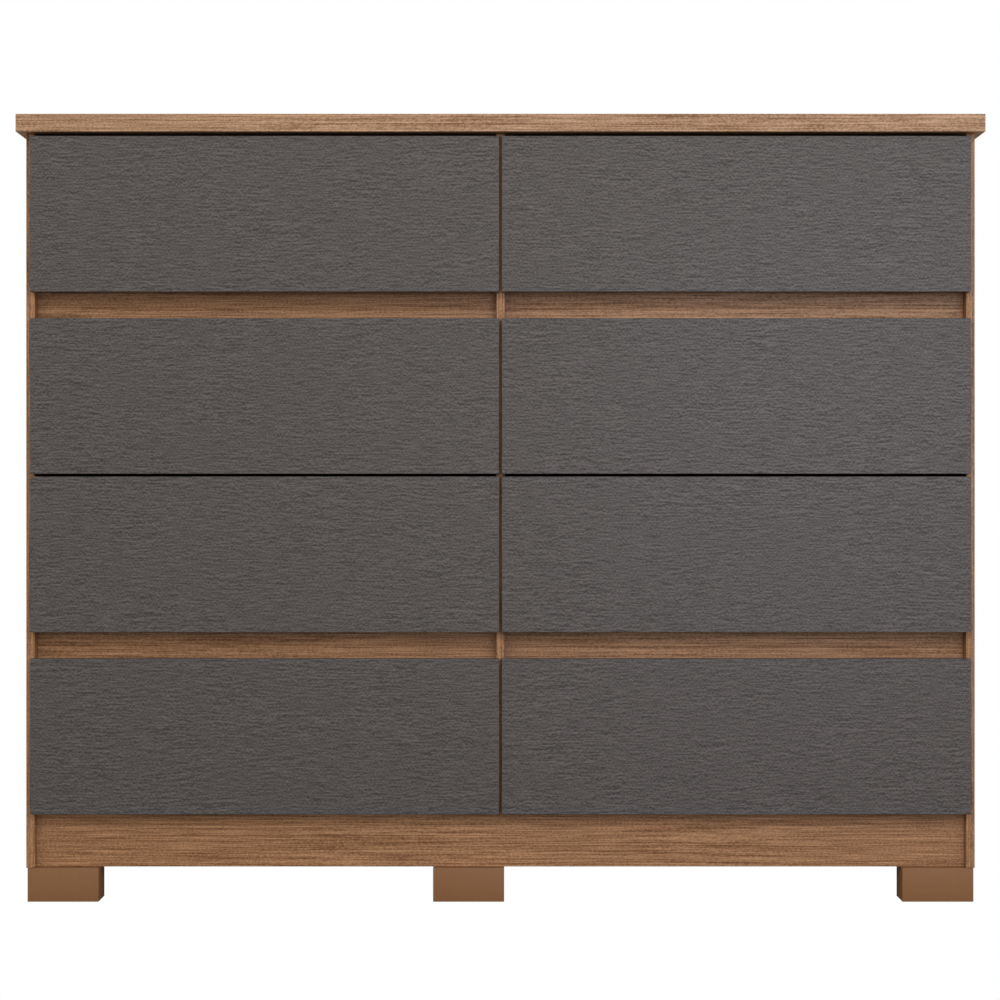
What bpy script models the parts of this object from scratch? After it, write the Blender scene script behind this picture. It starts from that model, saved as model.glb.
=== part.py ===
"""Wide dresser of faced chipboard: eight drawers in two columns of four, on six block feet.

Frame: +Z up, +X to the right of someone facing the dresser, and the front faces -Y.
The origin is on the floor, under the middle of the top panel. Units are metres.

Every board is a separate piece, as it comes out of the flat pack: top, two sides, a centre
divider, two bottoms, plinths, four recessed handle rails and two back panels. Each drawer is
a front, a three-sided box, and a bottom panel held in grooves. It runs on two steel channels
that are screwed to the carcass. A drawer's pieces hang on one empty, at the middle of the
lower edge of its front, and the drawer slides along that empty's Y axis.
"""
import bmesh
import bpy
from mathutils import Vector

# ---- driving dimensions -------------------------------------------------------------------
WIDTH = 1.369                 # over the top panel
DEPTH = 0.470                 # over the top panel, and over the back panels
HEIGHT = 1.116                # floor to the upper face of the top panel

TOP_THICKNESS = 0.025
TOP_OVERHANG = 0.011          # beyond each side panel
BOARD = 0.012                 # sides, divider, bottoms, plinths, rails and drawer boxes
HARDBOARD = 0.003             # back panels and drawer bottoms
FIT = 0.0003                  # gap between pieces that touch
EASE = 0.0005                 # chamfer on the edges of a board

FOOT_WIDTH = 0.101
FOOT_DEPTH = 0.050
FOOT_HEIGHT = 0.0485
FOOT_INSET = 0.0015           # from the outer and front faces of the carcass
MIDDLE_FOOT_EDGE = 0.0052     # right edge of the middle feet, under the divider

FACE_SETBACK = 0.005          # drawer faces behind the front edge of the top
FRONT_THICKNESS = 0.015
FRONT_CLEARANCE = 0.001       # between a closed drawer front and the carcass edges
FRONT_WIDTH = 0.663
FRONT_HEIGHT = 0.220
CENTRE_SLOT = 0.004           # between the left and the right column of fronts
TOP_SLOT = 0.0055             # between the top panel and the first row of fronts
FINGER_GAP = 0.0375           # below the first and the third row, in front of a rail
NARROW_SLOT = 0.004           # between the second and the third row

RAIL_HEIGHT = 0.058
RAIL_RECESS = 0.020           # behind the front edges of the sides
PLINTH_HEIGHT = 0.085
PLINTH_RECESS = 0.012         # of the front plinth, behind the front edges of the sides

BOX_DEPTH = 0.400
BOX_HEIGHT = 0.165
BOX_LIFT = 0.015              # lower edge of the box above the lower edge of its front
RUNNER_SPACE = 0.0125         # on each side of a drawer box
GROOVE_LIFT = 0.008           # groove above the lower edge of the box
GROOVE_DEPTH = 0.006

RUNNER_LENGTH = 0.400
RUNNER_HEIGHT = 0.033
RUNNER_REACH = 0.0097         # width of the channel's flanges
RUNNER_LIP = 0.005
RUNNER_STEEL = 0.001
RUNNER_FOLD = 0.002           # outer radius of the folds
RUNNER_DROP = 0.002           # channel's lower face below the lower edge of the box

# ---- planes worked out from them ----------------------------------------------------------
TOP_UNDERSIDE = HEIGHT - TOP_THICKNESS
FACE_Y = -DEPTH / 2 + FACE_SETBACK
FRONT_BACK_Y = FACE_Y + FRONT_THICKNESS
CARCASS_Y = FRONT_BACK_Y + FRONT_CLEARANCE
BACK_Y = DEPTH / 2 - HARDBOARD
SIDE_OUTER_X = WIDTH / 2 - TOP_OVERHANG
SIDE_INNER_X = SIDE_OUTER_X - BOARD
DIVIDER_X = BOARD / 2
PLINTH_TOP = FOOT_HEIGHT + PLINTH_HEIGHT
RAIL_Y = CARCASS_Y + RAIL_RECESS
PLINTH_Y = CARCASS_Y + PLINTH_RECESS
OPENING_WIDTH = SIDE_INNER_X - DIVIDER_X
BOX_WIDTH = OPENING_WIDTH - 2 * RUNNER_SPACE
COLUMN_X = (SIDE_INNER_X + DIVIDER_X) / 2
FRONT_X = (CENTRE_SLOT + FRONT_WIDTH) / 2

SIDES = {"left": -1, "right": 1}


def row_edges():
    """Lower and upper edge of each row of fronts, from the top row down."""
    rows = []
    upper_edge = TOP_UNDERSIDE - TOP_SLOT
    for gap_below in (FINGER_GAP, NARROW_SLOT, FINGER_GAP, 0.0):
        lower_edge = upper_edge - FRONT_HEIGHT
        rows.append((lower_edge, upper_edge))
        upper_edge = lower_edge - gap_below
    return rows


ROWS = row_edges()
RAIL_MIDDLES = {"upper": ROWS[0][0] - FINGER_GAP / 2, "lower": ROWS[2][0] - FINGER_GAP / 2}


# ---- tools --------------------------------------------------------------------------------
def clear_scene():
    for thing in list(bpy.data.objects):
        bpy.data.objects.remove(thing, do_unlink=True)


def new_collection(name):
    collection = bpy.data.collections.new(name)
    bpy.context.scene.collection.children.link(collection)
    return collection


def finish(name, colour, roughness, metallic=0.0):
    """A Principled material with the plain colour of one facing or metal."""
    material = bpy.data.materials.new(name)
    material.use_nodes = True
    shader = material.node_tree.nodes["Principled BSDF"]
    shader.inputs["Base Color"].default_value = (*colour, 1.0)
    shader.inputs["Roughness"].default_value = roughness
    shader.inputs["Metallic"].default_value = metallic
    material.diffuse_color = (*colour, 1.0)
    return material


def add_object(name, mesh, location, collection, parent=None):
    """Link a mesh as an object at a world location, under a parent that only moves it."""
    thing = bpy.data.objects.new(name, mesh)
    thing.location = location
    if parent is not None:
        thing.parent = parent
        thing.location = Vector(location) - parent.location
    collection.objects.link(thing)
    return thing


def block(name, low, high, collection, parent=None):
    """A rectangular block between two opposite corners, with its origin at its middle."""
    low, high = Vector(low), Vector(high)
    shape = bmesh.new()
    bmesh.ops.create_cube(shape, size=1.0)
    bmesh.ops.scale(shape, vec=high - low, verts=shape.verts)
    mesh = bpy.data.meshes.new(name)
    shape.to_mesh(mesh)
    shape.free()
    return add_object(name, mesh, (low + high) / 2, collection, parent)


def board(name, low, high, material, parent=None):
    """A board with its edges slightly eased."""
    piece = block(name, low, high, parts, parent)
    piece.data.materials.append(material)
    ease = piece.modifiers.new("eased_edges", "BEVEL")
    ease.width = EASE
    ease.segments = 1
    ease.limit_method = "NONE"
    return piece


def cut_away(piece, name, low, high, parent=None):
    """Take a rectangular block out of a piece."""
    cutter = block(name, low, high, cutters, parent)
    cutter.hide_render = True
    cutter.display_type = "WIRE"
    cut = piece.modifiers.new(name, "BOOLEAN")
    cut.operation = "DIFFERENCE"
    cut.object = cutter


# ---- carcass ------------------------------------------------------------------------------
def make_top():
    board("top_panel",
          (-WIDTH / 2, -DEPTH / 2, TOP_UNDERSIDE),
          (WIDTH / 2, DEPTH / 2, HEIGHT), brown_facing)


def make_sides():
    for side, sign in SIDES.items():
        faces = sorted((sign * SIDE_INNER_X, sign * SIDE_OUTER_X))
        board(f"side_panel_{side}",
              (faces[0], CARCASS_Y, FOOT_HEIGHT),
              (faces[1], BACK_Y - FIT, TOP_UNDERSIDE - FIT), brown_facing)


def make_divider():
    """The centre divider, notched at both lower corners for the plinths that run past it."""
    divider = board("centre_divider",
                    (-DIVIDER_X, CARCASS_Y, FOOT_HEIGHT),
                    (DIVIDER_X, BACK_Y - FIT, TOP_UNDERSIDE - FIT), brown_facing)
    past = 0.010
    cut_away(divider, "front_notch",
             (-DIVIDER_X - past, CARCASS_Y - past, FOOT_HEIGHT - past),
             (DIVIDER_X + past, PLINTH_Y + BOARD + FIT, PLINTH_TOP + FIT))
    cut_away(divider, "back_notch",
             (-DIVIDER_X - past, BACK_Y - FIT - BOARD - FIT, FOOT_HEIGHT - past),
             (DIVIDER_X + past, BACK_Y + past, PLINTH_TOP + FIT))


def make_plinths():
    across = SIDE_INNER_X - FIT
    back_face = BACK_Y - FIT
    for name, near, far in (("plinth_front", PLINTH_Y, PLINTH_Y + BOARD),
                            ("plinth_back", back_face - BOARD, back_face)):
        board(name, (-across, near, FOOT_HEIGHT), (across, far, PLINTH_TOP), brown_facing)


def make_column_boards():
    """The boards that repeat in each column: the bottom, two handle rails and the back."""
    for side, sign in SIDES.items():
        inside = sorted((sign * (DIVIDER_X + FIT), sign * (SIDE_INNER_X - FIT)))
        board(f"bottom_panel_{side}",
              (inside[0], PLINTH_Y + BOARD + FIT, PLINTH_TOP - BOARD),
              (inside[1], BACK_Y - BOARD - 2 * FIT, PLINTH_TOP), brown_facing)
        for rail, middle in RAIL_MIDDLES.items():
            board(f"handle_rail_{rail}_{side}",
                  (inside[0], RAIL_Y, middle - RAIL_HEIGHT / 2),
                  (inside[1], RAIL_Y + BOARD, middle + RAIL_HEIGHT / 2), brown_facing)
        behind = sorted((sign * FIT, sign * (SIDE_OUTER_X - EASE)))
        board(f"back_panel_{side}",
              (behind[0], BACK_Y, FOOT_HEIGHT),
              (behind[1], BACK_Y + HARDBOARD, TOP_UNDERSIDE - FIT), hardboard_facing)


def make_feet():
    """Three block feet under the front edge and three under the back edge."""
    outer = SIDE_OUTER_X - FOOT_INSET
    lefts = {"left": -outer, "middle": MIDDLE_FOOT_EDGE - FOOT_WIDTH, "right": outer - FOOT_WIDTH}
    nears = {"front": CARCASS_Y + FOOT_INSET, "back": DEPTH / 2 - FOOT_INSET - FOOT_DEPTH}
    for end, near in nears.items():
        for place, left in lefts.items():
            board(f"foot_{end}_{place}", (left, near, 0.0),
                  (left + FOOT_WIDTH, near + FOOT_DEPTH, FOOT_HEIGHT - FIT), foot_plastic)


# ---- runners ------------------------------------------------------------------------------
def make_runner(name, wall_x, inward, box_bottom):
    """A folded steel channel, screwed to the carcass wall and open towards the drawer.

    The section is a line along its outer face: lip, flange, web, flange, lip. It is pushed
    along Y into an open strip, which gets rounded folds and then its thickness.
    """
    web = FIT
    lip = FIT + RUNNER_REACH
    section = ((lip, RUNNER_LIP), (lip, 0.0), (web, 0.0), (web, RUNNER_HEIGHT),
               (lip, RUNNER_HEIGHT), (lip, RUNNER_HEIGHT - RUNNER_LIP))
    if inward > 0:
        section = section[::-1]
    shape = bmesh.new()
    corners = [shape.verts.new((inward * across, 0.0, up)) for across, up in section]
    edges = [shape.edges.new(pair) for pair in zip(corners, corners[1:])]
    pushed = bmesh.ops.extrude_edge_only(shape, edges=edges)
    moved = [part for part in pushed["geom"] if isinstance(part, bmesh.types.BMVert)]
    bmesh.ops.translate(shape, vec=(0.0, RUNNER_LENGTH, 0.0), verts=moved)
    mesh = bpy.data.meshes.new(name)
    shape.to_mesh(mesh)
    shape.free()
    mesh.materials.append(runner_steel)
    runner = add_object(name, mesh, (wall_x, CARCASS_Y + EASE, box_bottom - RUNNER_DROP), parts)
    folds = runner.modifiers.new("folds", "BEVEL")
    folds.width = RUNNER_FOLD
    folds.segments = 2
    thickness = runner.modifiers.new("steel", "SOLIDIFY")
    thickness.thickness = RUNNER_STEEL
    thickness.offset = -1.0
    thickness.use_even_offset = True


# ---- drawers ------------------------------------------------------------------------------
def make_drawer(side, sign, number, lower_edge, upper_edge):
    """One drawer on its empty, and the two channels that carry it."""
    name = f"drawer_{side}_{number}"
    slide = bpy.data.objects.new(f"{name}_slide", None)
    slide.location = (sign * FRONT_X, FACE_Y, lower_edge)
    parts.objects.link(slide)

    box_bottom = lower_edge + BOX_LIFT
    middle = sign * COLUMN_X
    half = BOX_WIDTH / 2
    inner = half - BOARD
    box_front = FRONT_BACK_Y + FIT
    box_back = FRONT_BACK_Y + BOX_DEPTH
    box_top = box_bottom + BOX_HEIGHT
    groove = (box_bottom + GROOVE_LIFT, box_bottom + GROOVE_LIFT + HARDBOARD + 2 * FIT)
    groove_half = inner + GROOVE_DEPTH + FIT
    groove_front = FRONT_BACK_Y - GROOVE_DEPTH - FIT
    groove_back = box_back - BOARD + GROOVE_DEPTH + FIT
    past = 0.010

    front = board(f"{name}_front",
                  (sign * FRONT_X - FRONT_WIDTH / 2, FACE_Y, lower_edge),
                  (sign * FRONT_X + FRONT_WIDTH / 2, FRONT_BACK_Y, upper_edge),
                  grey_facing, slide)
    cut_away(front, f"{name}_front_groove",
             (middle - groove_half, groove_front, groove[0]),
             (middle + groove_half, FRONT_BACK_Y + past, groove[1]), slide)

    box = block(f"{name}_box", (middle - half, box_front, box_bottom),
                (middle + half, box_back, box_top), parts, slide)
    box.data.materials.append(drawer_board)
    cut_away(box, f"{name}_inside",
             (middle - inner, box_front - past, box_bottom - past),
             (middle + inner, box_back - BOARD, box_top + past), slide)
    cut_away(box, f"{name}_box_groove",
             (middle - groove_half, box_front - past, groove[0]),
             (middle + groove_half, groove_back, groove[1]), slide)

    bottom = block(f"{name}_bottom",
                   (middle - groove_half + FIT, groove_front + FIT, groove[0] + FIT),
                   (middle + groove_half - FIT, groove_back - FIT, groove[1] - FIT),
                   parts, slide)
    bottom.data.materials.append(hardboard_facing)

    make_runner(f"runner_{side}_{number}_outer", sign * SIDE_INNER_X, -sign, box_bottom)
    make_runner(f"runner_{side}_{number}_inner", sign * DIVIDER_X, sign, box_bottom)


clear_scene()
parts = new_collection("dresser")
cutters = new_collection("cutters")

brown_facing = finish("brown_facing", (0.33, 0.18, 0.10), 0.55)
grey_facing = finish("grey_facing", (0.11, 0.10, 0.09), 0.50)
foot_plastic = finish("foot_plastic", (0.22, 0.12, 0.065), 0.55)
drawer_board = finish("drawer_board", (0.62, 0.60, 0.56), 0.60)
hardboard_facing = finish("hardboard_facing", (0.42, 0.27, 0.16), 0.65)
runner_steel = finish("runner_steel", (0.70, 0.70, 0.68), 0.35, 0.9)

make_top()
make_sides()
make_divider()
make_plinths()
make_column_boards()
make_feet()
for column, direction in SIDES.items():
    for index, edges in enumerate(ROWS, start=1):
        make_drawer(column, direction, index, *edges)
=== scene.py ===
"""Looks of a wide dresser: brown carcass, eight dark grey drawers, finger gaps in place of handles.

Boards are cores with bare chipboard edges and thin banding strips over the edges that show.
Lengths are in metres, and every place is worked out from the boxes of the frame's nodes.
"""
import math

import bpy
import numpy as np
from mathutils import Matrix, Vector


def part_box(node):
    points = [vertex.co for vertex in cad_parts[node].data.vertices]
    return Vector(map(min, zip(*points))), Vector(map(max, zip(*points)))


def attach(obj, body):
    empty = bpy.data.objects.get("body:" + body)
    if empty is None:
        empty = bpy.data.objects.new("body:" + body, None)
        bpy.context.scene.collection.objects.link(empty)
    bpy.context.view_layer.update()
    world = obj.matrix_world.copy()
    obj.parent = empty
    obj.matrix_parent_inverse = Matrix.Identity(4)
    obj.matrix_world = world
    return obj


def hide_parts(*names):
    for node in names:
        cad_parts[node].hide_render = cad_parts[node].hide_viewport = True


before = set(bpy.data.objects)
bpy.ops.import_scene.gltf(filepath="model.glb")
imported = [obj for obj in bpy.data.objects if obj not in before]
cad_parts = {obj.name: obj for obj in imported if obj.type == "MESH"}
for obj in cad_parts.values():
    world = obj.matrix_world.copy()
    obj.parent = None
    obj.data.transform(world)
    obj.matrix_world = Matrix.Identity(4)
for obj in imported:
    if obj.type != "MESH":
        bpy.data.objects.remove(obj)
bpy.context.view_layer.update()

X, Y, Z = 0, 1, 2
SIDES = {"left": -1, "right": 1}
ROWS = (1, 2, 3, 4)
RAILS = ("upper", "lower")

# ---- sizes ---------------------------------------------------------------------------------
FIT = 0.0003                  # play between pieces that touch
BOARD = 0.012                 # drawer sides and backs
BACK_PLAY = 0.0001            # at each end of a drawer back
BANDING = 0.0006              # thickness of an edge banding strip
ROUND = 0.0004                # rounded outer edges of the banding
CRISP = 0.00005               # an edge that only a joint line shows
FOOT_ROUNDS = (0.0006, 0.0003)              # at the floor, and under the carcass
ROUND_STEPS = 3
SMALLEST_RADIUS = 0.00005

STEEL = 0.001                 # sheet of the runners
CHANNEL_REACH = 0.0097        # how far a carcass channel stands out from its wall
LIP = 0.005
BEND = 0.0015                 # centreline radius of a fold
MEMBER_GAP = 0.0008           # centreline of a drawer member's sheet, off the drawer side
MEMBER_HOOK = 0.0115          # how far it hooks under the side
MEMBER_REACH = 0.0088         # how far its tread stands out
MEMBER_SETBACK = 0.001        # behind the front end of the side
TREAD_HEIGHT = 0.020          # tread above the lower edge of the drawer box
ROLLER = 0.0095               # radius
ROLLER_WIDTH = 0.0052
ROLLER_PLANE = 0.0057         # middle of the rollers, off the back of a carcass channel
ROLLER_SETBACK = 0.012        # roller centre from the end of its channel
ROLLER_PLAY = 0.0001
ROLLER_SIDE = [(0.0022, 0.0004), (0.0026, 0.0001), (0.0040, -0.0002), (0.0042, -0.0009),
               (0.0072, -0.0009), (0.0074, 0.0), (ROLLER - 0.0004, 0.0), (ROLLER - 0.0001, -0.0004)]
PIN_RADIUS = 0.002
PIN_LENGTH = 0.0075
CHANNEL_SCREWS = (0.037, 0.192, 0.365)      # behind the front end of a carcass channel
MEMBER_SCREWS = (0.030, 0.180, 0.330)       # behind the front end of a drawer member
MEMBER_SCREW_HEIGHT = 0.0105                # above the lower edge of the drawer box

LOCK_INSET = 0.024            # cam locks from the end of a board
LOCK_MARGIN = 0.060           # and from the long edges of a bottom board
FRONT_LOCK_HEIGHTS = (0.045, 0.130)         # above the lower edge of the drawer box
BACK_SCREW_HEIGHTS = (0.055, 0.125)
NAIL_INSET = 0.006            # nails from the outer edges of a back panel
NAIL_TOP = 0.012              # the upper row, from the upper edge
NAIL_BOTTOM = 0.030           # the lower row is one inset below this, from the lower edge
NAIL_HEAD = [(0.0031, -0.0002), (0.0031, 0.0001), (0.0022, 0.0004), (0.0008, 0.0005)]

SHARP = math.radians(40)      # a bend that shows as an edge


# ---- shapes --------------------------------------------------------------------------------
# A shape is (points, faces, finishes): an array of points, lists of point numbers, and for each
# face the number of its finish in the piece's list.
def joined(shapes):
    """Several shapes as one, with the point numbers of each moved past those before it."""
    points, faces, finishes = [], [], []
    first = 0
    for corners, polygons, kinds in shapes:
        points.append(corners)
        faces += [[first + i for i in polygon] for polygon in polygons]
        finishes += kinds
        first += len(corners)
    return np.concatenate(points), faces, finishes


def sleeve(rows, columns):
    """Faces over a grid whose columns close into a ring, with one flat face on each end."""
    ring = np.arange(rows * columns).reshape(rows, columns)
    beside = np.roll(ring, -1, axis=1)
    quads = np.stack([ring[:-1], beside[:-1], beside[1:], ring[1:]], axis=-1)
    return quads.reshape(-1, 4).tolist() + [ring[0, ::-1].tolist(), ring[-1].tolist()]


def rounded_outline(half_a, half_b, radius):
    """A rectangle's outline: each corner's centre plus radius times (cos, sin) through 90 degrees."""
    corner = np.repeat(np.arange(4), ROUND_STEPS + 1)
    turn = (corner + np.tile(np.linspace(0.0, 1.0, ROUND_STEPS + 1), 4)) * np.pi / 2
    side_a = np.array([1, -1, -1, 1])[corner]
    side_b = np.array([1, 1, -1, -1])[corner]
    return (side_a * (half_a - radius) + radius * np.cos(turn),
            side_b * (half_b - radius) + radius * np.sin(turn))


def quarter(radius):
    """Inset and rise of an edge rounded by a quarter circle, after a narrow flat margin."""
    turn = np.linspace(0.0, np.pi / 2, ROUND_STEPS + 1)
    inset = np.append(2 * radius, radius * (1 - np.sin(turn)))
    rise = np.append(0.0, radius * (1 - np.cos(turn)))
    return inset, rise


def slab(low, high, thin, rounds=(ROUND, ROUND), finish=0, edge=None, top=None):
    """A board: its rounded outline, moved inwards by the inset of a profile, at the profile's rise.

    The profile turns a quarter circle at the low face, runs up the edge and turns onto the high
    face; rounds holds the two radii. The edge and the high face may have finishes of their own.
    """
    low, high = np.asarray(low, float), np.asarray(high, float)
    middle, half = (low + high) / 2, (high - low) / 2
    flat_a, flat_b = (thin + 1) % 3, (thin + 2) % 3
    inset_low, rise_low = quarter(rounds[0])
    inset_high, rise_high = quarter(rounds[1])
    inset = np.concatenate([inset_low, inset_high[::-1]])[:, None]
    rise = np.concatenate([rise_low, 2 * half[thin] - rise_high[::-1]])
    radius = np.maximum(max(rounds) - inset, SMALLEST_RADIUS)
    across_a, across_b = rounded_outline(half[flat_a] - inset, half[flat_b] - inset, radius)
    rows, columns = across_a.shape
    points = np.empty((rows, columns, 3))
    points[..., flat_a] = middle[flat_a] + across_a
    points[..., flat_b] = middle[flat_b] + across_b
    points[..., thin] = (low[thin] + rise)[:, None]
    kinds = np.full((rows - 1, columns), finish)
    if edge is not None:
        kinds[len(inset_low) - 1] = edge
    ends = [finish, finish if top is None else top]
    return points.reshape(-1, 3), sleeve(rows, columns), kinds.ravel().tolist() + ends


def carried(section, along, start, end, finish=0, faces=(), cap=None):
    """A closed section pushed straight along an axis, with a flat face on each end.

    section holds points in the two other axes, in turn order. The ends have the finish cap, and
    so have the sides that faces doesn't name by number, unless it names none.
    """
    section = np.asarray(section, float)
    points = np.empty((2, len(section), 3))
    points[..., (along + 1) % 3] = section[:, 0]
    points[..., (along + 2) % 3] = section[:, 1]
    points[..., along] = [[start], [end]]
    cap = finish if cap is None else cap
    kinds = [finish if not faces or side in faces else cap for side in range(len(section))]
    return points.reshape(-1, 3), sleeve(2, len(section)), kinds + [cap, cap]


def turned(profile, centre, axis, steps=24, finish=0):
    """A turned piece: (radius, height) pairs carried round an axis through centre.

    The point at angle t is radius times (cos t, sin t) across the axis, at its height. The
    profile runs up the outside, and its first and last rings close with a flat face.
    """
    radius, height = np.asarray(profile, float).T[:, :, None]
    turn = np.linspace(0.0, 2 * np.pi, steps, endpoint=False)
    points = np.empty((len(radius), steps, 3))
    points[..., (axis + 1) % 3] = centre[(axis + 1) % 3] + radius * np.cos(turn)
    points[..., (axis + 2) % 3] = centre[(axis + 2) % 3] + radius * np.sin(turn)
    points[..., axis] = centre[axis] + height
    faces = sleeve(len(radius), steps)
    return points.reshape(-1, 3), faces, [finish] * len(faces)


def flipped(shape, axis, middle):
    """The mirror image of a shape across a plane, with its faces turned back to face out."""
    points, faces, finishes = shape
    points = points.copy()
    points[:, axis] = 2 * middle - points[:, axis]
    return points, [polygon[::-1] for polygon in faces], finishes


def screw_head(centre, axis, facing, radius=0.0036, height=0.0012, finish=0):
    """A domed head with a cross recess, over a grid of reach r, a share of the radius, by angle t.

    Inside its rim the head rises by height times 0.55 + 0.45 (1 - r^2). It is sunk to 0.35 of the
    height in the cross, where |sin 2t| < 0.3 and r < 0.6, and in the middle, where r < 0.2.
    """
    reach = np.array([1.0, 0.96, 0.62, 0.52, 0.12])[:, None]
    turn = np.linspace(0.0, 2 * np.pi, 16, endpoint=False)
    dome = np.where(reach > 0.99, 0.0, height * (0.55 + 0.45 * (1 - reach ** 2)))
    cross = (np.abs(np.sin(2 * turn)) < 0.3) & (reach < 0.6) & (reach > 0.2)
    rise = np.where(cross | (reach < 0.2), 0.35 * height, dome)
    points = np.empty((len(reach), len(turn), 3))
    points[..., (axis + 1) % 3] = centre[(axis + 1) % 3] + radius * reach * np.cos(turn)
    points[..., (axis + 2) % 3] = centre[(axis + 2) % 3] + radius * reach * np.sin(turn)
    points[..., axis] = centre[axis] + rise
    faces = sleeve(len(reach), len(turn))
    shape = points.reshape(-1, 3), faces, [finish] * len(faces)
    return shape if facing > 0 else flipped(shape, axis, centre[axis])


def folded_section(corners):
    """A sheet's closed section: its bent centreline, offset by half the sheet to both sides.

    Each inner corner becomes an arc tangent to its two legs. The offset follows the normal of
    the line there, so the inside and the outside of a bend keep the sheet's thickness.
    """
    corners = np.asarray(corners, float)
    line, normal = [], []
    legs = np.diff(corners, axis=0)
    ways = legs / np.linalg.norm(legs, axis=1)[:, None]
    sideways = np.stack([-ways[:, 1], ways[:, 0]], axis=1)
    for i in range(len(corners)):
        if i in (0, len(corners) - 1):
            line.append(corners[i][None])
            normal.append(sideways[min(i, len(ways) - 1)][None])
            continue
        left = np.sign(np.cross(ways[i - 1], ways[i]))
        pivot = corners[i] + BEND * (ways[i] - ways[i - 1])
        share = np.linspace(0.0, 1.0, 5)[:, None] * np.pi / 2
        out = -left * (sideways[i - 1] * np.cos(share) + sideways[i] * np.sin(share))
        line.append(pivot + BEND * out)
        normal.append(-left * out)
    line, normal = np.concatenate(line), np.concatenate(normal)
    return np.concatenate([line + normal * STEEL / 2, (line - normal * STEEL / 2)[::-1]])


def piece(name, shapes, finishes, body, replaces=()):
    """Put shapes into one mesh that rides on a body, and stands for the nodes if any are named."""
    points, faces, kinds = joined(shapes)
    mesh = bpy.data.meshes.new(name)
    mesh.from_pydata(points.tolist(), [], faces)
    for material in finishes:
        mesh.materials.append(material)
    mesh.polygons.foreach_set("material_index", np.asarray(kinds, np.int32))
    mesh.shade_smooth()
    mesh.set_sharp_from_angle(angle=SHARP)
    mesh.validate()
    thing = bpy.data.objects.new(name, mesh)
    bpy.context.scene.collection.objects.link(thing)
    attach(thing, body)
    if replaces:
        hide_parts(*replaces)
    return thing


# ---- node building -------------------------------------------------------------------------
class Nodes:
    """Adds and links shader nodes, one call for each node."""

    def __init__(self, tree):
        self.tree = tree

    def add(self, kind, inputs=None, **settings):
        node = self.tree.nodes.new(kind)
        for name, value in settings.items():
            setattr(node, name, value)
        for name, value in (inputs or {}).items():
            self.feed(node.inputs[name], value)
        return node

    def feed(self, socket, value):
        if isinstance(value, bpy.types.NodeSocket):
            self.tree.links.new(value, socket)
        else:
            socket.default_value = value

    def math(self, operation, first, second=0.0, third=0.0, clamp=False):
        node = self.add("ShaderNodeMath", {0: first, 1: second, 2: third},
                        operation=operation, use_clamp=clamp)
        return node.outputs[0]

    def vector(self, operation, first, second):
        node = self.add("ShaderNodeVectorMath", {0: first, 1: second}, operation=operation)
        return node.outputs[0]

    def noise(self, vector, scale=1.0, detail=2.0, roughness=0.5):
        node = self.add("ShaderNodeTexNoise", {"Vector": vector, "Scale": scale,
                                               "Detail": detail, "Roughness": roughness})
        return node.outputs["Fac"]

    def total(self, *weighted):
        """The sum of weight times (field - 0.5), over (field, weight) pairs."""
        result = -0.5 * sum(weight for field, weight in weighted)
        for field, weight in weighted:
            result = self.math("MULTIPLY_ADD", field, weight, result)
        return result

    def ramp(self, value, low, high, low_to=0.0, high_to=1.0):
        node = self.add("ShaderNodeMapRange", {"Value": value, "From Min": low, "From Max": high,
                                               "To Min": low_to, "To Max": high_to})
        return node.outputs["Result"]

    def mix(self, share, first, second, blend="MIX"):
        node = self.add("ShaderNodeMix", data_type="RGBA", blend_type=blend)
        for name, value in (("Factor", share), ("A", first), ("B", second)):
            sockets = [s for s in node.inputs if s.name == name and s.enabled]
            self.feed(sockets[0], value)
        return [s for s in node.outputs if s.enabled][0]


def rgb(red, green, blue):
    return (red, green, blue, 1.0)


def new_group(name, inputs, outputs):
    """A node group with named sockets. Returns its tree, its node adder and its input node."""
    tree = bpy.data.node_groups.new(name, "ShaderNodeTree")
    for socket, (kind, value) in inputs.items():
        made = tree.interface.new_socket(socket, in_out="INPUT", socket_type="NodeSocket" + kind)
        if value is not None:
            made.default_value = value
    for socket, kind in outputs.items():
        tree.interface.new_socket(socket, in_out="OUTPUT", socket_type="NodeSocket" + kind)
    nodes = Nodes(tree)
    return tree, nodes, nodes.add("NodeGroupInput").outputs


def flow_group():
    """Moves a place sideways to the grain, so that straight streaks come out gently wavy.

    The push is slow noise around zero, times Push metres. Along and Across are its waves per
    metre, along the vector's X and across it.
    """
    tree, nodes, given = new_group(
        "flow", {"Vector": ("Vector", None), "Push": ("Float", 0.01), "Along": ("Float", 2.0),
                 "Across": ("Float", 5.0)}, {"Vector": "Vector"})
    stretch = nodes.add("ShaderNodeCombineXYZ", {"X": given["Along"], "Y": given["Across"],
                                                 "Z": given["Across"]}).outputs[0]
    slow = nodes.add("ShaderNodeTexNoise", {"Vector": nodes.vector("MULTIPLY", given["Vector"], stretch),
                                            "Scale": 1.0, "Detail": 1.0}).outputs["Color"]
    centred = nodes.vector("SUBTRACT", slow, (0.5, 0.5, 0.5))
    push = nodes.add("ShaderNodeVectorMath", {0: centred, "Scale": given["Push"]},
                     operation="SCALE").outputs[0]
    nodes.add("NodeGroupOutput", {"Vector": nodes.vector("ADD", given["Vector"], push)})
    return tree


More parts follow.
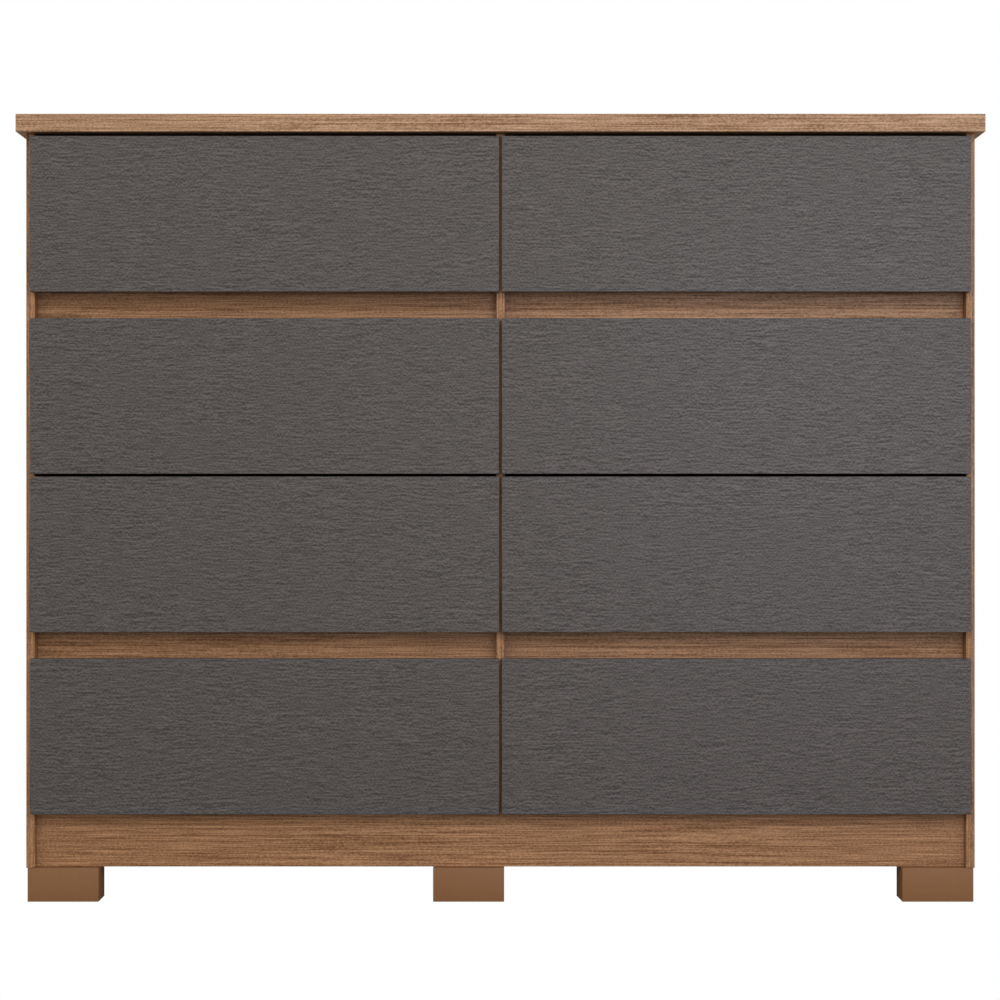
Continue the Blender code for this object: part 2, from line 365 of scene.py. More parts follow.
def grain_group():
    """Streaks that run along the vector's X: noise that is stretched along it, around 0.5.

    Along and Across are streaks per metre. Seed moves the pattern, so that two fields with the
    same sizes differ.
    """
    tree, nodes, given = new_group(
        "grain", {"Vector": ("Vector", None), "Along": ("Float", 12.0), "Across": ("Float", 400.0),
                  "Detail": ("Float", 1.0), "Seed": ("Float", 0.0)}, {"Field": "Float"})
    stretch = nodes.add("ShaderNodeCombineXYZ", {"X": given["Along"], "Y": given["Across"],
                                                 "Z": given["Across"]}).outputs[0]
    moved = nodes.add("ShaderNodeVectorMath", {0: given["Vector"], 1: stretch, 2: given["Seed"]},
                      operation="MULTIPLY_ADD").outputs[0]
    nodes.add("NodeGroupOutput", {"Field": nodes.noise(moved, 1.0, given["Detail"], 0.5)})
    return tree


def speckle_group():
    """Even mottling at two sizes, as on paint, moulded plastic and pressed board.

    Size is speckles per metre of the coarser noise; the finer one is Ratio times as dense.
    """
    tree, nodes, given = new_group(
        "speckle", {"Vector": ("Vector", None), "Size": ("Float", 200.0), "Ratio": ("Float", 7.0),
                    "Fine": ("Float", 0.4)}, {"Field": "Float"})
    coarse = nodes.noise(given["Vector"], given["Size"], 2.0)
    dense = nodes.math("MULTIPLY", given["Size"], given["Ratio"])
    fine = nodes.noise(given["Vector"], dense, 2.0)
    share = nodes.add("ShaderNodeMix", {"Factor": given["Fine"], "A": coarse, "B": fine},
                      data_type="FLOAT")
    nodes.add("NodeGroupOutput", {"Field": share.outputs["Result"]})
    return tree


def dust_group():
    """A trace of dust: full on faces that look up, none on the others, thinned by patches."""
    tree, nodes, given = new_group(
        "dust", {"Vector": ("Vector", None), "Amount": ("Float", 0.1), "Patches": ("Float", 9.0)},
        {"Mask": "Float"})
    normal = nodes.add("ShaderNodeNewGeometry").outputs["Normal"]
    up = nodes.add("ShaderNodeSeparateXYZ", {0: normal}).outputs["Z"]
    facing = nodes.ramp(up, 0.6, 1.0)
    patches = nodes.ramp(nodes.noise(given["Vector"], given["Patches"], 4.0, 0.6), 0.3, 0.75)
    specks = nodes.ramp(nodes.noise(given["Vector"], 900.0, 1.0), 0.5, 0.8, 0.4, 1.0)
    mask = nodes.math("MULTIPLY", facing, nodes.math("MULTIPLY", patches, specks))
    nodes.add("NodeGroupOutput", {"Mask": nodes.math("MULTIPLY", mask, given["Amount"])})
    return tree


FLOW, GRAIN, SPECKLE, DUST = flow_group(), grain_group(), speckle_group(), dust_group()


class Finish(Nodes):
    """A material whose nodes end in one Principled shader."""

    def __init__(self, name, roughness=0.5, metallic=0.0, specular=0.5):
        self.material = bpy.data.materials.new(name)
        self.material.use_nodes = True
        super().__init__(self.material.node_tree)
        self.shader = self.tree.nodes["Principled BSDF"]
        self.shader.inputs["Roughness"].default_value = roughness
        self.shader.inputs["Metallic"].default_value = metallic
        self.shader.inputs["Specular IOR Level"].default_value = specular
        self.place = self.add("ShaderNodeTexCoord").outputs["Object"]

    def group(self, tree, output=0, **inputs):
        node = self.add("ShaderNodeGroup", node_tree=tree)
        for name, value in inputs.items():
            self.feed(node.inputs[name], value)
        return node.outputs[output]

    def run_along(self, axis):
        """The object's coordinates, turned so that the given axis comes first."""
        parts = self.add("ShaderNodeSeparateXYZ", {0: self.place}).outputs
        return self.add("ShaderNodeCombineXYZ", {"X": parts[axis], "Y": parts[(axis + 1) % 3],
                                                 "Z": parts[(axis + 2) % 3]}).outputs[0]

    def finish(self, colour, roughness=None, height=None, relief=0.0001, strength=1.0):
        """Feed the shader. relief is how high, in metres, a height of 1 stands."""
        self.feed(self.shader.inputs["Base Color"], colour)
        if roughness is not None:
            self.feed(self.shader.inputs["Roughness"], roughness)
        if height is not None:
            bump = self.add("ShaderNodeBump", {"Strength": strength, "Distance": relief,
                                               "Height": height})
            self.feed(self.shader.inputs["Normal"], bump.outputs["Normal"])
        return self.material


def two_tones(colour, spread, depth=(1.0, 1.0, 1.0)):
    """A darker and a lighter colour on both sides of one; depth is each channel's share."""
    shares = [spread * share for share in depth]
    return [rgb(*(channel * (1 + way * share) for channel, share in zip(colour, shares)))
            for way in (-1, 1)]


def brown_facing(name, axis, colour):
    """Brown wood print with the grain along an axis.

    Lines of four lengths, from the whole board down to short fibres, lie over slow bands. All
    of them follow one flow, and short dark pores are sunk along them.
    """
    wood = Finish(name, roughness=0.46)
    place = wood.group(FLOW, Vector=wood.run_along(axis), Push=0.006, Along=1.6, Across=5.0)
    bands = wood.group(GRAIN, Vector=place, Along=0.9, Across=34.0, Detail=2.0, Seed=3.0)
    longest = wood.group(GRAIN, Vector=place, Along=1.6, Across=560.0, Seed=11.0)
    long = wood.group(GRAIN, Vector=place, Along=6.0, Across=560.0, Seed=23.0)
    short = wood.group(GRAIN, Vector=place, Along=17.0, Across=560.0, Seed=37.0)
    fibres = wood.group(GRAIN, Vector=place, Along=300.0, Across=560.0, Seed=41.0)
    pores = wood.group(GRAIN, Vector=place, Along=45.0, Across=760.0, Seed=53.0)
    tone = wood.total((bands, 0.32), (longest, 0.85), (long, 1.2), (short, 1.15), (fibres, 1.3))
    dark, light = two_tones(colour, 0.52, (1.0, 1.25, 1.65))
    printed = wood.mix(wood.math("ADD", tone, 0.5, clamp=True), dark, light)
    sunk = wood.ramp(pores, 0.60, 0.74, 0.0, 0.40)
    pored = wood.mix(sunk, printed, rgb(*BROWN_PORE))
    dusty = wood.mix(wood.group(DUST, Vector=wood.place, Amount=0.07), pored, rgb(*DUST_COLOUR))
    rough = wood.ramp(tone, -0.4, 0.4, 0.52, 0.42)
    return wood.finish(dusty, rough, wood.math("SUBTRACT", tone, sunk), 0.00005, 0.5)


def grey_facing(name, axis):
    """Dark grey facing with dense streaks along an axis: finger-long ones, and short threads.

    Each streak has a weaker opposite one just beside it: in the colour it is painted shade, the shadow
    side of a brushed line, and in the bump a groove beside the streak, so that light and dark lines take
    turns. Slow patches shift the balance a little.
    """
    grey = Finish(name, roughness=0.46)
    place = grey.group(FLOW, Vector=grey.run_along(axis), Push=0.006, Along=9.0, Across=14.0)
    # painted shade: an inverted copy of the streaks, moved a little across, darkens the shadow side of
    # each streak
    beside = grey.vector("ADD", place, (0.0, 0.0, BRUSHED_PITCH))
    streak = {"Along": 44.0, "Across": 600.0, "Seed": 5.0}
    thread = {"Along": 330.0, "Across": 600.0, "Seed": 17.0}
    streaks = grey.group(GRAIN, Vector=place, **streak)
    threads = grey.group(GRAIN, Vector=place, **thread)
    streaks_shadow_side = grey.group(GRAIN, Vector=beside, **streak)
    threads_shadow_side = grey.group(GRAIN, Vector=beside, **thread)
    patches = grey.group(GRAIN, Vector=place, Along=14.0, Across=40.0, Seed=29.0)
    tone = grey.total((streaks, 1.6), (threads, 1.9), (streaks_shadow_side, -0.56),
                      (threads_shadow_side, -0.67), (patches, 0.05))
    dark, light = two_tones(GREY, 0.60)
    colour = grey.mix(grey.math("ADD", tone, 0.5, clamp=True), dark, light)
    dusty = grey.mix(grey.group(DUST, Vector=grey.place, Amount=0.05), colour, rgb(*DUST_COLOUR))
    rough = grey.ramp(tone, -0.5, 0.5, 0.52, 0.42)
    return grey.finish(dusty, rough, tone, 0.00003, 0.4)


def chipboard():
    """Bare pressed board: pale and dark chips, with open pores."""
    board = Finish("chipboard", roughness=0.85, specular=0.3)
    chips = board.add("ShaderNodeTexVoronoi", {"Vector": board.place, "Scale": 420.0,
                                               "Randomness": 1.0}).outputs["Color"]
    shade = board.add("ShaderNodeSeparateXYZ", {0: chips}).outputs["X"]
    mottle = board.group(SPECKLE, Vector=board.place, Size=700.0, Ratio=4.0, Fine=0.5)
    dark_chip, pale_chip = rgb(0.36, 0.23, 0.12), rgb(0.62, 0.47, 0.30)
    open_pore = rgb(0.12, 0.07, 0.035)
    mixed = board.mix(shade, dark_chip, pale_chip)
    pores = board.ramp(mottle, 0.30, 0.42, 0.6, 0.0)
    colour = board.mix(pores, mixed, open_pore)
    return board.finish(colour, board.ramp(mottle, 0.3, 0.7, 0.95, 0.75), mottle, 0.0003, 0.8)


def moulded_plastic(name, colour, roughness, relief=0.00003):
    """Moulded plastic: a hair of mottling in colour, and the fine spark texture of the mould."""
    plastic = Finish(name)
    mottle = plastic.group(SPECKLE, Vector=plastic.place, Size=260.0, Ratio=9.0, Fine=0.5)
    darker, lighter = (rgb(*(channel * gain for channel in colour)) for gain in (0.95, 1.05))
    shade = plastic.mix(plastic.ramp(mottle, 0.35, 0.65), darker, lighter)
    dusty = plastic.mix(plastic.group(DUST, Vector=plastic.place, Amount=0.06), shade,
                        rgb(*DUST_COLOUR))
    rough = plastic.ramp(mottle, 0.3, 0.7, roughness - 0.06, roughness + 0.06)
    return plastic.finish(dusty, rough, mottle, relief, 0.5)


def drawer_facing():
    """Off-white board facing with a faint cross-woven emboss. Its sunk weave is painted darker as shade
    and its raised weave lighter as light, over a random mottle.
    """
    facing = Finish("drawer_facing")
    level = facing.group(GRAIN, Vector=facing.place, Along=150.0, Across=1300.0)
    upright = facing.group(GRAIN, Vector=facing.run_along(Z), Along=150.0, Across=1300.0)
    weave = facing.math("ADD", level, upright)
    mottle = facing.group(SPECKLE, Vector=facing.place, Size=40.0, Ratio=12.0, Fine=0.3)
    shade = facing.math("ADD", facing.ramp(weave, 0.8, 1.2, 0.0, 0.5),
                        facing.ramp(mottle, 0.3, 0.7, 0.0, 0.5))
    # painted shade and light: the darker colour goes where the weave is sunk, the lighter where it is
    # raised, mixed with random mottle
    sunk, painted_lit_raised = rgb(0.60, 0.585, 0.55), rgb(0.68, 0.665, 0.63)
    colour = facing.mix(shade, sunk, painted_lit_raised)
    dusty = facing.mix(facing.group(DUST, Vector=facing.place, Amount=0.08), colour,
                       rgb(*DUST_COLOUR))
    return facing.finish(dusty, facing.ramp(weave, 0.8, 1.2, 0.55, 0.45), weave, 0.00004, 0.5)


def hardboard():
    """Smooth brown hardboard: pressed fibres in every direction, with a few dark ones."""
    sheet = Finish("hardboard")
    mottle = sheet.group(SPECKLE, Vector=sheet.place, Size=90.0, Ratio=11.0, Fine=0.5)
    level_place = sheet.group(FLOW, Vector=sheet.place, Push=0.004, Along=60.0, Across=60.0)
    upright_place = sheet.group(FLOW, Vector=sheet.run_along(Z), Push=0.004, Along=60.0,
                                Across=60.0)
    level = sheet.group(GRAIN, Vector=level_place, Along=110.0, Across=900.0, Detail=2.0)
    upright = sheet.group(GRAIN, Vector=upright_place, Along=110.0, Across=900.0, Detail=2.0)
    fibres = sheet.ramp(sheet.math("MAXIMUM", level, upright), 0.62, 0.75, 0.0, 0.5)
    darker, paler = rgb(0.235, 0.130, 0.066), rgb(0.32, 0.19, 0.10)
    dark_fibre = rgb(0.13, 0.07, 0.035)
    base = sheet.mix(sheet.ramp(mottle, 0.3, 0.7), darker, paler)
    colour = sheet.mix(fibres, base, dark_fibre)
    rough = sheet.ramp(mottle, 0.3, 0.7, 0.50, 0.66)
    return sheet.finish(colour, rough, sheet.math("SUBTRACT", mottle, fibres), 0.00005, 0.6)


def coated_steel():
    """Satin white powder coat on folded steel: orange peel and a little handling grime."""
    steel = Finish("coated_steel")
    peel = steel.group(SPECKLE, Vector=steel.place, Size=500.0, Ratio=3.0, Fine=0.3)
    grime = steel.ramp(steel.noise(steel.place, 30.0, 5.0, 0.65), 0.52, 0.80, 0.0, 0.35)
    clean, grimy = rgb(0.72, 0.72, 0.70), rgb(0.44, 0.42, 0.38)
    colour = steel.mix(grime, clean, grimy)
    return steel.finish(colour, steel.ramp(peel, 0.3, 0.7, 0.30, 0.40), peel, 0.00004, 0.4)


def plated_metal(name, colour, roughness):
    """Zinc plating: brushed lightly in one direction, duller in spots."""
    metal = Finish(name, metallic=1.0)
    brushed = metal.group(GRAIN, Vector=metal.place, Along=300.0, Across=3500.0, Detail=2.0)
    spots = metal.group(SPECKLE, Vector=metal.place, Size=600.0, Ratio=4.0, Fine=0.3)
    darker, lighter = (rgb(*(channel * gain for channel in colour)) for gain in (0.85, 1.0))
    shade = metal.mix(metal.ramp(spots, 0.3, 0.7), darker, lighter)
    rough = metal.ramp(brushed, 0.3, 0.7, roughness, roughness + 0.15)
    return metal.finish(shade, rough, brushed, 0.00002, 0.3)


BROWN = (0.403, 0.199, 0.093)
PAINTED_LIGHT_TOP_BROWN = (0.487, 0.276, 0.159)      # painted light: the thick top is paler than the other boards, standing in for the stronger light and sheen near the top
BROWN_PORE = (0.110, 0.045, 0.016)
GREY = (0.0955, 0.0857, 0.0908)
BRUSHED_PITCH = 0.0028
DUST_COLOUR = (0.62, 0.60, 0.56)

brown = {axis: brown_facing(f"brown_facing_{'xyz'[axis]}", axis, BROWN) for axis in (X, Y, Z)}
# painted light: the top's facings use a paler brown for the stronger light that falls near the top
painted_light_top_brown = {axis: brown_facing(f"painted_light_top_facing_{'xyz'[axis]}", axis, PAINTED_LIGHT_TOP_BROWN) for axis in (X, Y)}
grey = {axis: grey_facing(f"grey_facing_{'xyz'[axis]}", axis) for axis in (X, Z)}
bare_board = chipboard()
foot_plastic = moulded_plastic("foot_plastic", colour=(0.301, 0.139, 0.056), roughness=0.55)
off_white = drawer_facing()
brown_hardboard = hardboard()
white_steel = coated_steel()
nylon = moulded_plastic("nylon", colour=(0.70, 0.69, 0.66), roughness=0.38, relief=0.00001)
zinc = plated_metal("zinc", colour=(0.62, 0.61, 0.58), roughness=0.30)


# ---- boards --------------------------------------------------------------------------------
def box(node):
    """A node's lowest and highest corners, as arrays."""
    low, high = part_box(node)
    return np.array(low), np.array(high)


def banding(low, high, sides, finish):
    """Strips over the named edges of a board between two corners, and the core's new corners.

    A side is (axis, direction). Later strips run between the earlier ones. finish gives the
    number of the finish whose grain runs along a strip that is longest along a given axis.
    """
    low, high = low.copy(), high.copy()
    strips = []
    for axis, direction in sides:
        near, far = low.copy(), high.copy()
        if direction < 0:
            far[axis] = near[axis] + BANDING
            low[axis] = far[axis]
            rounds = (ROUND, CRISP)
        else:
            near[axis] = far[axis] - BANDING
            high[axis] = near[axis]
            rounds = (CRISP, ROUND)
        length = int(np.argmax(far - near))
        strips.append(slab(near, far, axis, rounds, finish(length)))
    return strips, low, high


def brown_board(name, node, thin, grain, sides=(), facing=None):
    """A brown board: two faces with the grain along one axis, bare edges, and banded sides."""
    facing = facing or brown
    finishes = [facing[grain], bare_board] + [facing.get(axis, facing[X]) for axis in (X, Y, Z)]
    low, high = box(node)
    strips, low, high = banding(low, high, sides, lambda length: 2 + length)
    core = slab(low, high, thin, (CRISP, CRISP), edge=1)
    return piece(name, [core, *strips], finishes, "carcass", [node])


def make_carcass():
    front, back = (Y, -1), (Y, 1)
    brown_board("top_board", "top_panel", Z, X, [front, back, (X, -1), (X, 1)], painted_light_top_brown)
    for side in SIDES:
        brown_board(f"side_board_{side}", f"side_panel_{side}", X, Z, [front, (Z, -1)])
        brown_board(f"bottom_board_{side}", f"bottom_panel_{side}", Z, X)
        for rail in RAILS:
            brown_board(f"rail_board_{rail}_{side}", f"handle_rail_{rail}_{side}", Y, X,
                        [(Z, 1), (Z, -1)])
    brown_board("plinth_board_front", "plinth_front", Y, X, [(Z, -1)])
    brown_board("plinth_board_back", "plinth_back", Y, X, [(Z, -1)])
    make_divider()
    for side in SIDES:
        node = f"back_panel_{side}"
        low, high = box(node)
        sheet = slab(low, high, Y, (CRISP, CRISP))
        piece(f"back_sheet_{side}", [sheet], [brown_hardboard], "carcass", [node])


def make_divider():
    """The divider: its outline has a notch at each lower corner, and its front edge is banded."""
    low, high = box("centre_divider")
    plinth_corner = box("plinth_front")[1]
    notch_y, notch_z = plinth_corner[Y] + FIT, plinth_corner[Z] + FIT
    back_notch = box("plinth_back")[0][Y] - FIT
    near = low[Y] + BANDING
    outline = [(near, notch_z), (notch_y, notch_z), (notch_y, low[Z]), (back_notch, low[Z]),
               (back_notch, notch_z), (high[Y], notch_z), (high[Y], high[Z]), (near, high[Z])]
    core = carried(outline, X, low[X], high[X], finish=1, cap=0)
    strip = slab((low[X], low[Y], notch_z), (high[X], near, high[Z]), Y, (ROUND, CRISP), 0)
    piece("divider_board", [core, strip], [brown[Z], bare_board], "carcass",
          ["centre_divider"])


def make_feet():
    """Moulded feet: blocks with rounded edges, rounder at the floor."""
    for end in ("front", "back"):
        for place in ("left", "middle", "right"):
            node = f"foot_{end}_{place}"
            low, high = box(node)
            block = slab(low, high, Z, FOOT_ROUNDS)
            piece(f"{node}_block", [block], [foot_plastic], "carcass", [node])


# ---- runners -------------------------------------------------------------------------------
def channel_section(wall_x, inward, base_z, height):
    """The carcass channel: lip, flange, web, flange, lip, on the centreline of the sheet."""
    web, tip = FIT + STEEL / 2, FIT + CHANNEL_REACH - STEEL / 2
    low, high = STEEL / 2, height - STEEL / 2
    line = [(tip, LIP), (tip, low), (web, low), (web, high), (tip, high), (tip, height - LIP)]
    return [(base_z + up, wall_x + inward * out) for out, up in line]


def facing_out(shape, middle):
    """Turn every face of a closed shape round if the shape is inside out.

    Each face is a fan of triangles. Each triangle makes a tetrahedron with the middle, and the
    sum of their signed volumes is positive for a shape that faces out.
    """
    points, faces, finishes = shape
    volume = 0.0
    for polygon in faces:
        corners = points[polygon] - middle
        fan = np.cross(corners[1:-1], corners[2:])
        volume += float((corners[0] * fan).sum())
    return shape if volume > 0 else (points, [polygon[::-1] for polygon in faces], finishes)


def roller(centre):
    """A nylon roller: a crowned tread, a groove round the hub, and the end of its rivet.

    Both sides have one profile, from the rivet out to the tread: its radius, and how far it
    stands out of the side.
    """
    half = ROLLER_WIDTH / 2
    profile = [(radius, -half - out) for radius, out in ROLLER_SIDE] + [(ROLLER, 0.0)]
    profile += [(radius, half + out) for radius, out in ROLLER_SIDE[::-1]]
    return turned(profile, centre, X, 28)


def make_carcass_channel(node, wall_x, inward, axle):
    """The channel on the carcass, with a roller on the given axle and three screws."""
    low, high = box(node)
    middle = (low + high) / 2
    section = folded_section(channel_section(wall_x, inward, low[Z], high[Z] - low[Z]))
    channel = facing_out(carried(section, Y, low[Y], high[Y]), middle)
    web_x = wall_x + inward * (FIT + STEEL)
    screws = [screw_head((web_x, low[Y] + along, middle[Z]), X, inward)
              for along in CHANNEL_SCREWS]
    piece(f"{node}_channel", [channel], [white_steel], "carcass", [node])
    piece(f"{node}_roller", [roller(axle)], [nylon], "carcass")
    piece(f"{node}_screws", screws, [zinc], "carcass")


def drawer_member(face_x, out, front, back, base_z):
    """The channel on a drawer side: it hooks under the side, and its tread stands out."""
    line = [(-MEMBER_HOOK, -MEMBER_GAP), (MEMBER_GAP, -MEMBER_GAP),
            (MEMBER_GAP, TREAD_HEIGHT), (MEMBER_REACH, TREAD_HEIGHT)]
    section = folded_section([(base_z + up, face_x + out * across) for across, up in line])
    member = carried(section, Y, front, back)
    return facing_out(member, np.array([face_x, (front + back) / 2, base_z]))


def axle_pin(start_x, out, axle):
    """The pin that carries a drawer's roller, from the member's outer face."""
    pin = turned([(PIN_RADIUS, 0.0), (PIN_RADIUS, PIN_LENGTH)], (start_x, axle[Y], axle[Z]), X, 12)
    return pin if out > 0 else flipped(pin, X, start_x)


def make_runners(side, number):
    """Both channel pairs of one drawer, with their rollers and screws."""
    drawer = f"drawer_{side}_{number}"
    box_low, box_high = box(f"{drawer}_box")
    front, back = box_low[Y] + MEMBER_SETBACK, box_high[Y]
    front_axle_z = box_low[Z] + TREAD_HEIGHT - STEEL / 2 - ROLLER - ROLLER_PLAY
    members, rollers, screws = [], [], []
    for place in ("outer", "inner"):
        node = f"runner_{side}_{number}_{place}"
        low, high = box(node)
        on_left = low[X] < box_low[X]
        inward = 1 if on_left else -1
        wall_x = (low[X] if on_left else high[X]) - inward * FIT
        face_x = box_low[X] if on_left else box_high[X]
        outside_x = face_x - inward * (MEMBER_GAP + STEEL / 2)
        roll_x = wall_x + inward * (FIT + ROLLER_PLANE)
        front_axle = (roll_x, low[Y] + ROLLER_SETBACK, front_axle_z)
        back_axle = (roll_x, back - ROLLER_SETBACK, low[Z] + STEEL + ROLLER + ROLLER_PLAY)
        make_carcass_channel(node, wall_x, inward, front_axle)
        members.append(drawer_member(face_x, -inward, front, back, box_low[Z]))
        rollers.append(roller(back_axle))
        screws += [screw_head((outside_x, front + along, box_low[Z] + MEMBER_SCREW_HEIGHT), X,
                              -inward) for along in MEMBER_SCREWS]
        screws.append(axle_pin(outside_x, -inward, back_axle))
    piece(f"{drawer}_channels", members, [white_steel], drawer)
    piece(f"{drawer}_rollers", rollers, [nylon], drawer)
    piece(f"{drawer}_screws", screws, [zinc], drawer)


# ---- drawers -------------------------------------------------------------------------------
def grooved_outline(low_a, high_a, low_z, high_z, groove, opens):
    """A board's section with a groove for the bottom: opens is the side that it is cut into."""
    bottom, top, depth = groove
    if opens > 0:
        return [(low_a, low_z), (high_a, low_z), (high_a, bottom), (high_a - depth, bottom),
                (high_a - depth, top), (high_a, top), (high_a, high_z), (low_a, high_z)]
    return [(low_a, low_z), (high_a, low_z), (high_a, high_z), (low_a, high_z),
            (low_a, top), (low_a + depth, top), (low_a + depth, bottom), (low_a, bottom)]


def swapped(outline):
    """The same outline with its two coordinates exchanged, in the order that faces out again."""
    return [(second, first) for first, second in outline[::-1]]


def make_front(drawer):
    """A front: a grooved core with the grey facing on both faces, and banding on all edges."""
    low, high = box(f"{drawer}_front")
    bottom_low, bottom_high = box(f"{drawer}_bottom")
    strips, low, high = banding(low, high, [(Z, 1), (Z, -1), (X, -1), (X, 1)],
                                 {X: 0, Z: 2}.get)
    groove = (bottom_low[Z] - FIT, bottom_high[Z] + FIT, high[Y] - bottom_low[Y] + FIT)
    outline = grooved_outline(low[Y], high[Y], low[Z], high[Z], groove, 1)
    core = carried(outline, X, low[X], high[X], faces=(1, 5, 7), cap=1)
    piece(f"{drawer}_front_board", [core, *strips], [grey[X], bare_board, grey[Z]], drawer,
          [f"{drawer}_front"])


def make_box(drawer):
    """Two sides, a back between them, and a bottom held in grooves all round."""
    low, high = box(f"{drawer}_box")
    bottom_low, bottom_high = box(f"{drawer}_bottom")
    depth = low[X] + BOARD - bottom_low[X] + FIT
    groove = (bottom_low[Z] - FIT, bottom_high[Z] + FIT, depth)
    finishes = [off_white, bare_board]
    top_low = high[Z] - BANDING
    for side, sign in SIDES.items():
        near = low[X] if sign < 0 else high[X] - BOARD
        far = near + BOARD
        outline = swapped(grooved_outline(near, far, low[Z], top_low, groove, -sign))
        core = carried(outline, Y, low[Y], high[Y], cap=1)
        strip = slab((near, low[Y], top_low), (far, high[Y], high[Z]), Z, (CRISP, ROUND))
        replaced = [f"{drawer}_box"] if sign < 0 else []
        piece(f"{drawer}_side_{side}", [core, strip], finishes, drawer, replaced)
    inner_low, inner_high = low[X] + BOARD + BACK_PLAY, high[X] - BOARD - BACK_PLAY
    outline = grooved_outline(high[Y] - BOARD, high[Y], low[Z], top_low, groove, -1)
    core = carried(outline, X, inner_low, inner_high, cap=1)
    strip = slab((inner_low, high[Y] - BOARD, top_low), (inner_high, high[Y], high[Z]), Z,
                 (CRISP, ROUND))
    piece(f"{drawer}_back", [core, strip], finishes, drawer)
    sheet = slab(bottom_low, bottom_high, Z, (CRISP, CRISP), 0, top=1)
    piece(f"{drawer}_bottom_sheet", [sheet], [brown_hardboard, off_white], drawer,
          [f"{drawer}_bottom"])


def cam_lock(centre, axis, facing):
    """The face of a cam lock: wide and flat, with a cross recess like a screw's."""
    return screw_head(centre, axis, facing, radius=0.0072, height=0.0006)


def make_fittings(drawer):
    """Cam locks inside, where the sides meet the front, and screws outside, into the back."""
    low, high = box(f"{drawer}_box")
    locks = []
    for side, sign in SIDES.items():
        inner = low[X] + BOARD if sign < 0 else high[X] - BOARD
        outer = low[X] if sign < 0 else high[X]
        for up in FRONT_LOCK_HEIGHTS:
            locks.append(cam_lock((inner, low[Y] + LOCK_INSET, low[Z] + up), X, -sign))
        for up in BACK_SCREW_HEIGHTS:
            locks.append(screw_head((outer, high[Y] - BOARD / 2, low[Z] + up), X, sign,
                                    radius=0.0042, height=0.0008))
    piece(f"{drawer}_fittings", locks, [zinc], drawer)


def make_carcass_fittings():
    """Nails round the back panels, cam locks behind the rails and under the bottom boards."""
    nails, locks = [], []
    for side in SIDES:
        low, high = box(f"back_panel_{side}")
        xs = np.linspace(low[X] + NAIL_INSET, high[X] - NAIL_INSET, 6)
        zs = np.linspace(low[Z] + NAIL_BOTTOM, high[Z] - NAIL_TOP, 9)
        spots = [(x, z) for x in xs for z in (zs[0] - NAIL_INSET, zs[-1])]
        spots += [(x, z) for x in (xs[0], xs[-1]) for z in zs[1:-1]]
        nails += [turned(NAIL_HEAD, (x, high[Y], z), Y, 12) for x, z in spots]
        low, high = box(f"bottom_panel_{side}")
        for x in (low[X] + LOCK_INSET, high[X] - LOCK_INSET):
            for y in (low[Y] + LOCK_MARGIN, high[Y] - LOCK_MARGIN):
                locks.append(cam_lock((x, y, low[Z]), Z, -1))
        for rail in RAILS:
            low, high = box(f"handle_rail_{rail}_{side}")
            for x in (low[X] + LOCK_INSET, high[X] - LOCK_INSET):
                locks.append(cam_lock((x, high[Y], (low[Z] + high[Z]) / 2), Y, 1))
    piece("back_nails", nails, [zinc], "carcass")
    piece("carcass_cam_locks", locks, [zinc], "carcass")


make_carcass()
make_feet()
for side in SIDES:
    for number in ROWS:
        drawer = f"drawer_{side}_{number}"
        make_runners(side, number)
        make_front(drawer)
        make_box(drawer)
        make_fittings(drawer)
make_carcass_fittings()


# ---- camera, floor and light ---------------------------------------------------------------
CAMERA_X = -0.0007
CAMERA_DISTANCE = 3.337       # from the drawer faces
CAMERA_HEIGHT = 0.5709
CAMERA_LENS = 85.0
SENSOR = 36.0
FLOOR_SIZE = 16.0
FLOOR_PALE = 0.35

# Walls and ceiling of the studio as light, by the sine of the elevation.
WALL_RISE = (0.10, 0.25)
CEILING_RISE = (0.40, 0.60)
STUDIO_LEVEL = 0.75                    # below the walls
STUDIO_WALL = 1.11
STUDIO_CEILING = 0.35
STUDIO_TINT = (1.0, 0.91, 0.74)        # warm walls
DAYLIGHT = (0.84, 0.90, 1.0)           # the cooler lamps, which balance them
LAMP_TARGET = (0.0, -0.2, 0.6)         # middle of the fronts


def make_camera():
    faces_y = box("drawer_left_1_front")[0][Y]
    data = bpy.data.cameras.new("camera")
    data.lens = CAMERA_LENS
    data.sensor_width = SENSOR
    camera = bpy.data.objects.new("camera", data)
    camera.location = (CAMERA_X, faces_y - CAMERA_DISTANCE, CAMERA_HEIGHT)
    camera.rotation_euler = (math.pi / 2, 0.0, 0.0)
    bpy.context.scene.collection.objects.link(camera)
    bpy.context.scene.camera = camera


def make_floor():
    """A pale floor: it glows evenly where the camera sees it, and is dim to other rays."""
    mesh = bpy.data.meshes.new("floor")
    half = FLOOR_SIZE / 2
    mesh.from_pydata([(-half, -half, 0), (half, -half, 0), (half, half, 0), (-half, half, 0)],
                     [], [(0, 1, 2, 3)])
    floor = bpy.data.objects.new("floor", mesh)
    bpy.context.scene.collection.objects.link(floor)
    material = bpy.data.materials.new("floor")
    material.use_nodes = True
    nodes = Nodes(material.node_tree)
    matt = material.node_tree.nodes["Principled BSDF"]
    matt.inputs["Base Color"].default_value = rgb(FLOOR_PALE, FLOOR_PALE, FLOOR_PALE)
    matt.inputs["Roughness"].default_value = 0.9
    glow = nodes.add("ShaderNodeEmission", {"Color": rgb(1, 1, 1), "Strength": 1.0})
    seen = nodes.add("ShaderNodeLightPath").outputs["Is Camera Ray"]
    mixed = nodes.add("ShaderNodeMixShader", {0: seen, 1: matt.outputs[0], 2: glow.outputs[0]})
    output = material.node_tree.nodes["Material Output"]
    nodes.feed(output.inputs["Surface"], mixed.outputs[0])
    mesh.materials.append(material)


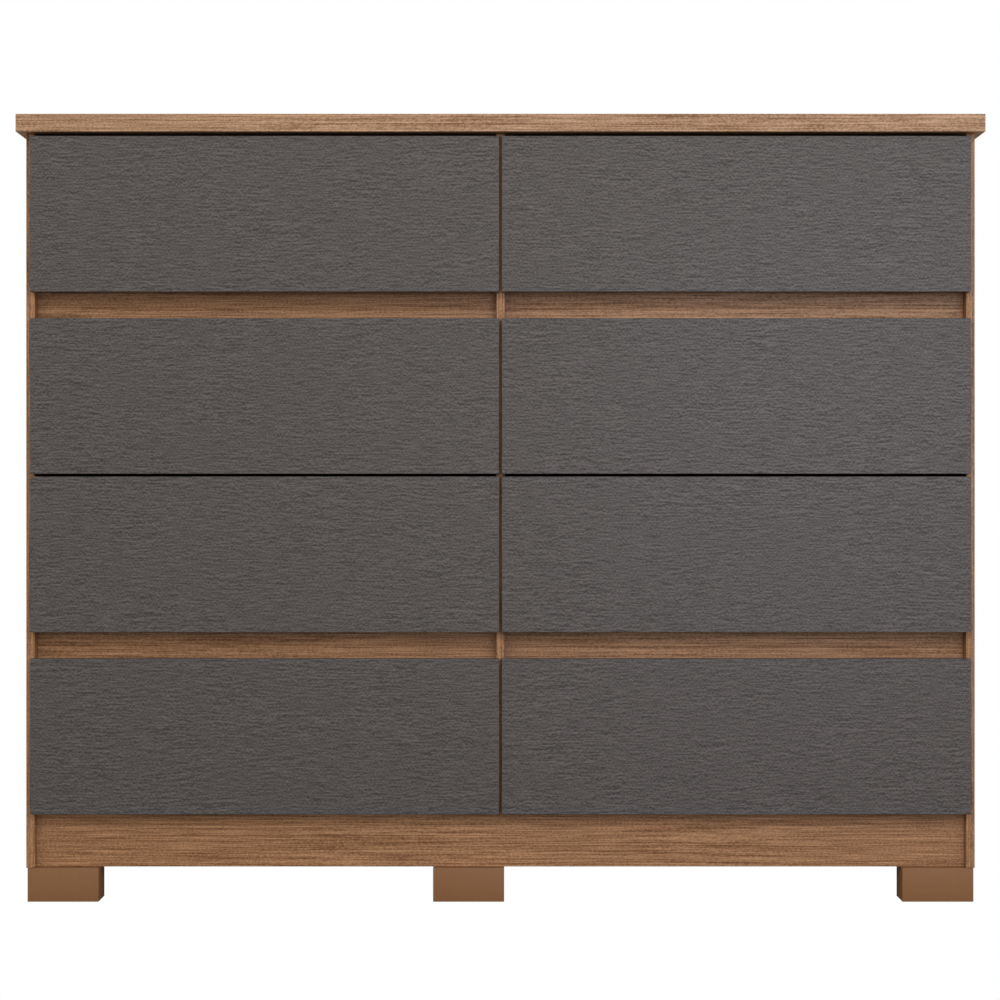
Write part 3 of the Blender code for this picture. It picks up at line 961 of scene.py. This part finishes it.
def make_surroundings():
    """White to the camera; as light, a studio with bright walls and a dim ceiling."""
    world = bpy.data.worlds.new("studio")
    bpy.context.scene.world = world
    world.use_nodes = True
    nodes = Nodes(world.node_tree)
    way = nodes.add("ShaderNodeTexCoord").outputs["Generated"]
    up = nodes.add("ShaderNodeSeparateXYZ", {0: way}).outputs["Z"]
    wall = nodes.ramp(up, *WALL_RISE, STUDIO_LEVEL, STUDIO_WALL)
    ceiling = nodes.ramp(up, *CEILING_RISE, 0.0, STUDIO_CEILING - STUDIO_WALL)
    level = nodes.math("ADD", wall, ceiling)
    seen = nodes.add("ShaderNodeLightPath").outputs["Is Camera Ray"]
    strength = nodes.add("ShaderNodeMix", {"Factor": seen, "A": level, "B": 1.0},
                         data_type="FLOAT").outputs["Result"]
    background = world.node_tree.nodes["Background"]
    colour = nodes.mix(seen, rgb(*STUDIO_TINT), rgb(1, 1, 1))
    nodes.feed(background.inputs["Color"], colour)
    nodes.feed(background.inputs["Strength"], strength)


def lamp(name, azimuth, elevation, distance, energy, **settings):
    """An area lamp of daylight that looks at the fronts, and doesn't show itself.

    An azimuth of 0 is in front, and a positive one is to the right.
    """
    turn, lift = math.radians(azimuth), math.radians(elevation)
    way = Vector((math.sin(turn) * math.cos(lift), -math.cos(turn) * math.cos(lift),
                  math.sin(lift)))
    data = bpy.data.lights.new(name, "AREA")
    data.energy = energy
    data.color = DAYLIGHT
    for setting, value in settings.items():
        setattr(data, setting, value)
    light = bpy.data.objects.new(name, data)
    light.visible_camera = False
    light.location = Vector(LAMP_TARGET) + way * distance
    light.rotation_euler = (-way).to_track_quat("-Z", "Y").to_euler()
    bpy.context.scene.collection.objects.link(light)
    return light


make_camera()
make_floor()
make_surroundings()
lamp("ceiling_strip", azimuth=0.0, elevation=34.2, distance=16.0, energy=965.0,
     shape="RECTANGLE", size=40.0, size_y=0.6)
right_sheen = lamp("right_sheen", azimuth=13.0, elevation=3.0, distance=3.6, energy=9.0,
                   shape="DISK", size=0.5)
right_sheen.visible_diffuse = False
lamp("right_gloss", azimuth=21.0, elevation=9.0, distance=3.4, energy=7.5,
     shape="DISK", size=0.8)
bpy.context.scene.view_settings.view_transform = "Standard"
